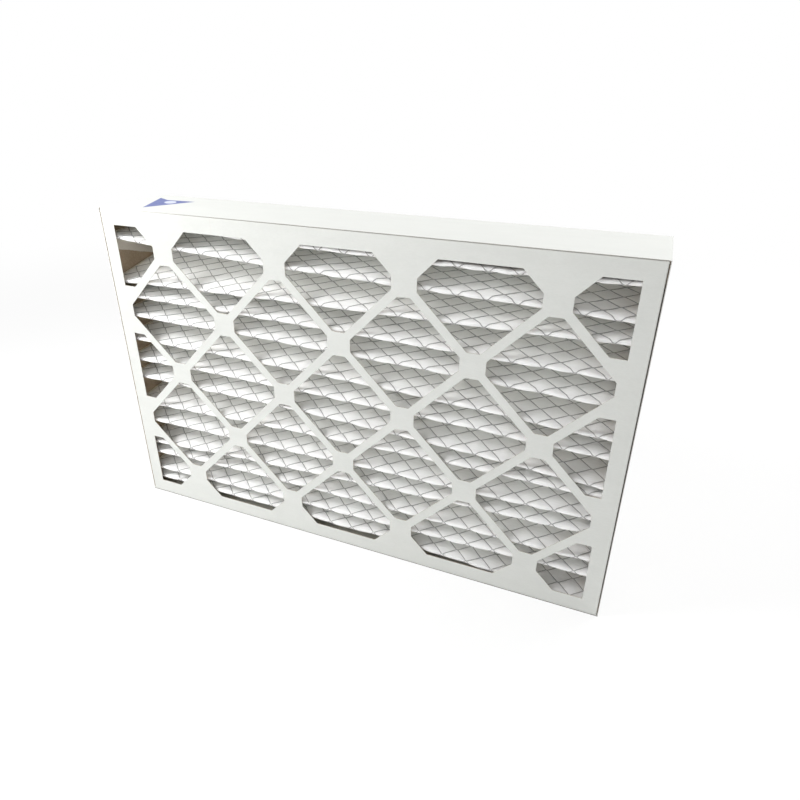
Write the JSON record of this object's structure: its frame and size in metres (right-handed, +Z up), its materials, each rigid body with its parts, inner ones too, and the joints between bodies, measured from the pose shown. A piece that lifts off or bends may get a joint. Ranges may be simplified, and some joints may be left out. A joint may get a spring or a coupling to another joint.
{
  "type": "pleated panel air filter",
  "caption": "Deep pleated air filter with wire-backed white media in a folded board frame that has a diagonal die-cut lattice on both faces.",
  "frame": {"origin": "middle of the long edge that the filter stands on, in the middle of its depth", "axes": "+X along the width, +Y towards the air-entering face, +Z up; the air-leaving face is at -Y"},
  "size_m": [0.6224, 0.1112, 0.3937],
  "materials": {
    "coated_board": "white clay-coated board outside, plain brown kraft inside, satin",
    "media": "soft white nonwoven",
    "wire": "galvanised expanded metal, dull",
    "adhesive": "dried white glue"
  },
  "bodies": {
    "root": {"front_frame": "coated_board", "rear_frame": "coated_board", "pleated_media": "media", "support_grid": "wire", "left_end_seal": "adhesive", "right_end_seal": "adhesive", "top_edge_seal": "adhesive", "bottom_edge_seal": "adhesive"}
  },
  "joints": []
}
